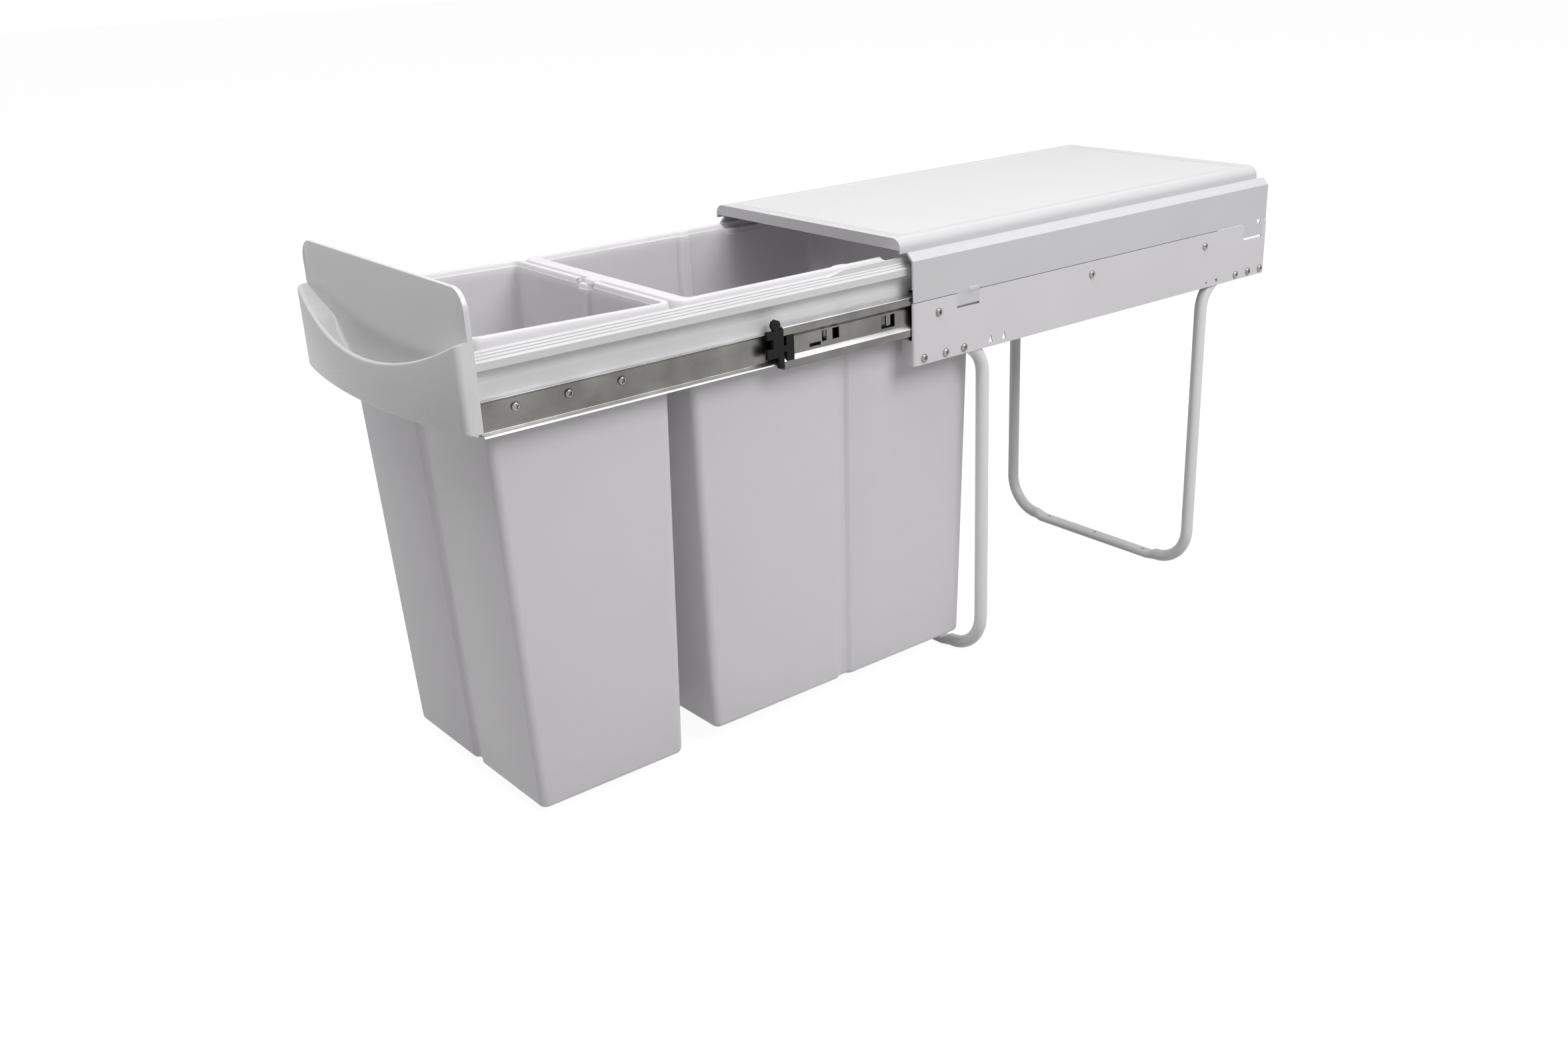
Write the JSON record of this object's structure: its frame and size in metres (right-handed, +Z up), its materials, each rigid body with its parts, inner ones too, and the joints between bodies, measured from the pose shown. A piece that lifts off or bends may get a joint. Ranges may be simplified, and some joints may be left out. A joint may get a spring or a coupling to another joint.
{
  "type": "pull-out waste bin unit",
  "caption": "Pull-out waste bin unit for a kitchen base cabinet: tube legs, steel side plates and cover, ball-bearing slides, carriage with handle panel, and lift-out bins.",
  "frame": {"origin": "centre of the four outer floor-screw holes, on the cabinet floor: midway between the legs, on the unit's middle plane", "axes": "+X to the right of someone who stands in front, +Y back into the cabinet along the slides, +Z up from the cabinet floor"},
  "size_m": [0.268, 0.903, 0.4364],
  "materials": {
    "painted_steel": "smooth white powder coat",
    "cover_plastic": "white, fine-textured top field with smooth edges",
    "leg_paint": "semi-gloss white powder coat",
    "zinc_steel": "zinc-plated rolled steel",
    "ball_steel": "polished bearing balls",
    "screw_steel": "plated pan-head screws",
    "black_plastic": "black moulded end stop",
    "rail_paint": "white powder coat, ribbed lengthwise",
    "panel_plastic": "smooth white moulding, semi-gloss",
    "bin_plastic": "pale grey-white polypropylene, faint moulding texture"
  },
  "bodies": {
    "frame": {"side_plate_right": "painted_steel", "side_plate_left": "painted_steel", "cover": "cover_plastic", "front_leg": "leg_paint", "rear_leg": "leg_paint", "leg_screws_right": "screw_steel", "leg_screws_left": "screw_steel", "slide_screws_right": "screw_steel", "slide_screws_left": "screw_steel", "cabinet_slide_member_right": "zinc_steel", "cabinet_slide_member_left": "zinc_steel"},
    "carriage": {"drawer_slide_member_right": "zinc_steel", "drawer_slide_member_left": "zinc_steel", "carriage_rail_right": "rail_paint", "carriage_rail_left": "rail_paint", "rail_screws_right": "screw_steel", "rail_screws_left": "screw_steel", "rear_crossbar": "rail_paint", "crossbar_screws_right": "screw_steel", "crossbar_screws_left": "screw_steel", "front_panel": "panel_plastic", "panel_screws": "screw_steel"},
    "front_bin": {"front_bin": "bin_plastic"},
    "rear_bin": {"rear_bin": "bin_plastic"},
    "middle_slide_right": {"middle_slide_member_right": "zinc_steel", "slide_bumper_right": "black_plastic"},
    "outer_race_right": {"outer_ball_cage_right": "zinc_steel", "outer_balls_right": "ball_steel"},
    "inner_race_right": {"inner_ball_cage_right": "zinc_steel", "inner_balls_right": "ball_steel"},
    "middle_slide_left": {"middle_slide_member_left": "zinc_steel", "slide_bumper_left": "black_plastic"},
    "outer_race_left": {"outer_ball_cage_left": "zinc_steel", "outer_balls_left": "ball_steel"},
    "inner_race_left": {"inner_ball_cage_left": "zinc_steel", "inner_balls_left": "ball_steel"}
  },
  "joints": [
    {"name": "carriage_slide", "type": "slide", "parent": "frame", "child": "carriage", "axis": [0, 1, 0], "range_m": [0, 0.383]},
    {"name": "middle_slide_right_travel", "type": "slide", "parent": "frame", "child": "middle_slide_right", "axis": [0, 1, 0], "range_m": [0, 0.1375]},
    {"name": "outer_race_right_travel", "type": "slide", "parent": "frame", "child": "outer_race_right", "axis": [0, 1, 0], "range_m": [0, 0.06875]},
    {"name": "inner_race_right_travel", "type": "slide", "parent": "frame", "child": "inner_race_right", "axis": [0, 1, 0], "range_m": [0, 0.26025]},
    {"name": "middle_slide_left_travel", "type": "slide", "parent": "frame", "child": "middle_slide_left", "axis": [0, 1, 0], "range_m": [0, 0.1375]},
    {"name": "outer_race_left_travel", "type": "slide", "parent": "frame", "child": "outer_race_left", "axis": [0, 1, 0], "range_m": [0, 0.06875]},
    {"name": "inner_race_left_travel", "type": "slide", "parent": "frame", "child": "inner_race_left", "axis": [0, 1, 0], "range_m": [0, 0.26025]},
    {"name": "front_bin_lift", "type": "slide", "parent": "carriage", "child": "front_bin", "axis": [0, 0, 1], "range_m": [0, 0.42]},
    {"name": "rear_bin_lift", "type": "slide", "parent": "carriage", "child": "rear_bin", "axis": [0, 0, 1], "range_m": [0, 0.01]}
  ],
  "couplings": [
    {"joint": "middle_slide_right_travel", "follows": "carriage_slide", "ratio": 0.359},
    {"joint": "outer_race_right_travel", "follows": "carriage_slide", "ratio": 0.1795},
    {"joint": "inner_race_right_travel", "follows": "carriage_slide", "ratio": 0.6795},
    {"joint": "middle_slide_left_travel", "follows": "carriage_slide", "ratio": 0.359},
    {"joint": "outer_race_left_travel", "follows": "carriage_slide", "ratio": 0.1795},
    {"joint": "inner_race_left_travel", "follows": "carriage_slide", "ratio": 0.6795}
  ]
}
